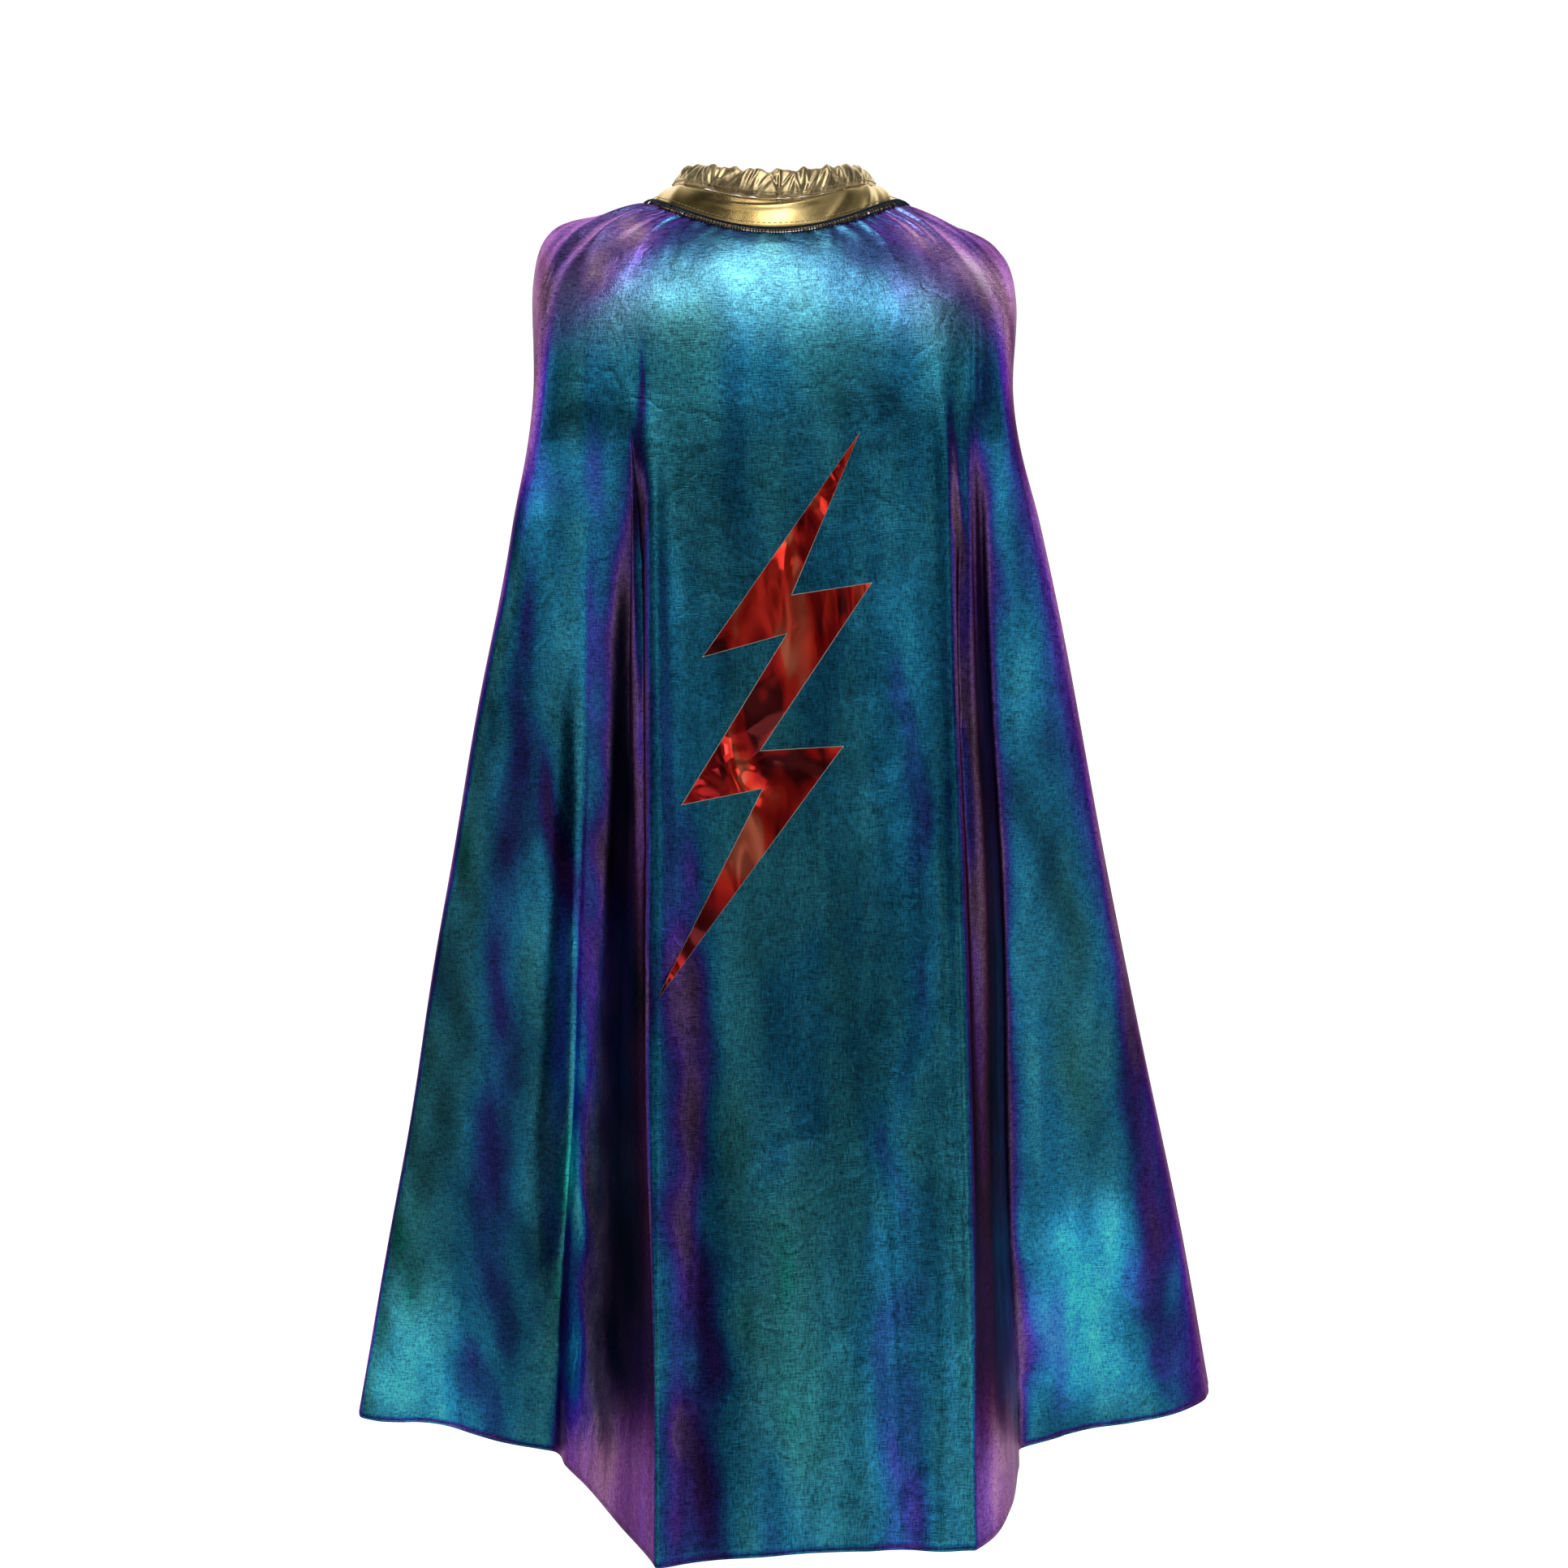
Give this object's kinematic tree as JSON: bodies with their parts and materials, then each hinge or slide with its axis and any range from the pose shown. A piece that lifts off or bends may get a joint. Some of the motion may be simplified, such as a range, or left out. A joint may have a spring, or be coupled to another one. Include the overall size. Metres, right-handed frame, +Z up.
{
  "type": "superhero cape",
  "caption": "Child's lined iridescent cape gathered into a gold yoke and elastic collar, with a red lightning bolt on the back and a hook-and-loop throat tab.",
  "frame": {"origin": "on the neck's vertical axis, level with the middle of the back neck seam, where the cape rests on the wearer", "axes": "+Z up along the wearer's neck, +Y the way the wearer faces, so the decorated back faces -Y, and +X to the wearer's right"},
  "size_m": [0.5002, 0.3148, 0.7374],
  "materials": {
    "iridescent_foil_knit": "teal foil-printed knit that turns blue, then violet and pink at a slant",
    "dark_lining": "matt plain-weave lining, dark blue",
    "turned_edge": "foil knit turned over at the edge, violet-blue",
    "red_foil": "mirror-like metallised red film",
    "bonding_film": "thin pale heat-bonding film",
    "gold_foil_cloth": "smooth shiny gold foil cloth",
    "gathered_gold_cloth": "gold foil cloth gathered over elastic",
    "gold_thread": "gold sewing thread",
    "dark_thread": "dark blue overlock thread",
    "white_elastic": "flat braided elastic",
    "hook_and_loop": "black hook-and-loop tape",
    "label_tape": "blank woven tape"
  },
  "bodies": {
    "cape": {"shell": "iridescent_foil_knit", "lining": "dark_lining", "hem_rolled_edge": "turned_edge", "left_front_rolled_edge": "turned_edge", "right_front_rolled_edge": "turned_edge", "bolt_bonding_film": "bonding_film", "lightning_bolt": "red_foil", "yoke": "gold_foil_cloth", "yoke_facing": "gold_foil_cloth", "collar_casing": "gathered_gold_cloth", "neck_elastic": "white_elastic", "neck_seam_overlock": "dark_thread", "gathering_thread": "dark_thread", "yoke_topstitch": "gold_thread", "casing_topstitch": "gold_thread", "loop_patch": "hook_and_loop", "care_label": "label_tape", "label_stitching": "gold_thread"},
    "closure": {"closure_tab": "gold_foil_cloth", "hook_patch": "hook_and_loop", "tab_stitching": "gold_thread"}
  },
  "joints": [
    {"name": "closure_tab_peel", "type": "hinge", "parent": "cape", "child": "closure", "pos_m": [-0.0088, 0.0567, -0.012], "axis": [0.105, -0.4399, 0.8919], "range_deg": [0, 110]}
  ]
}
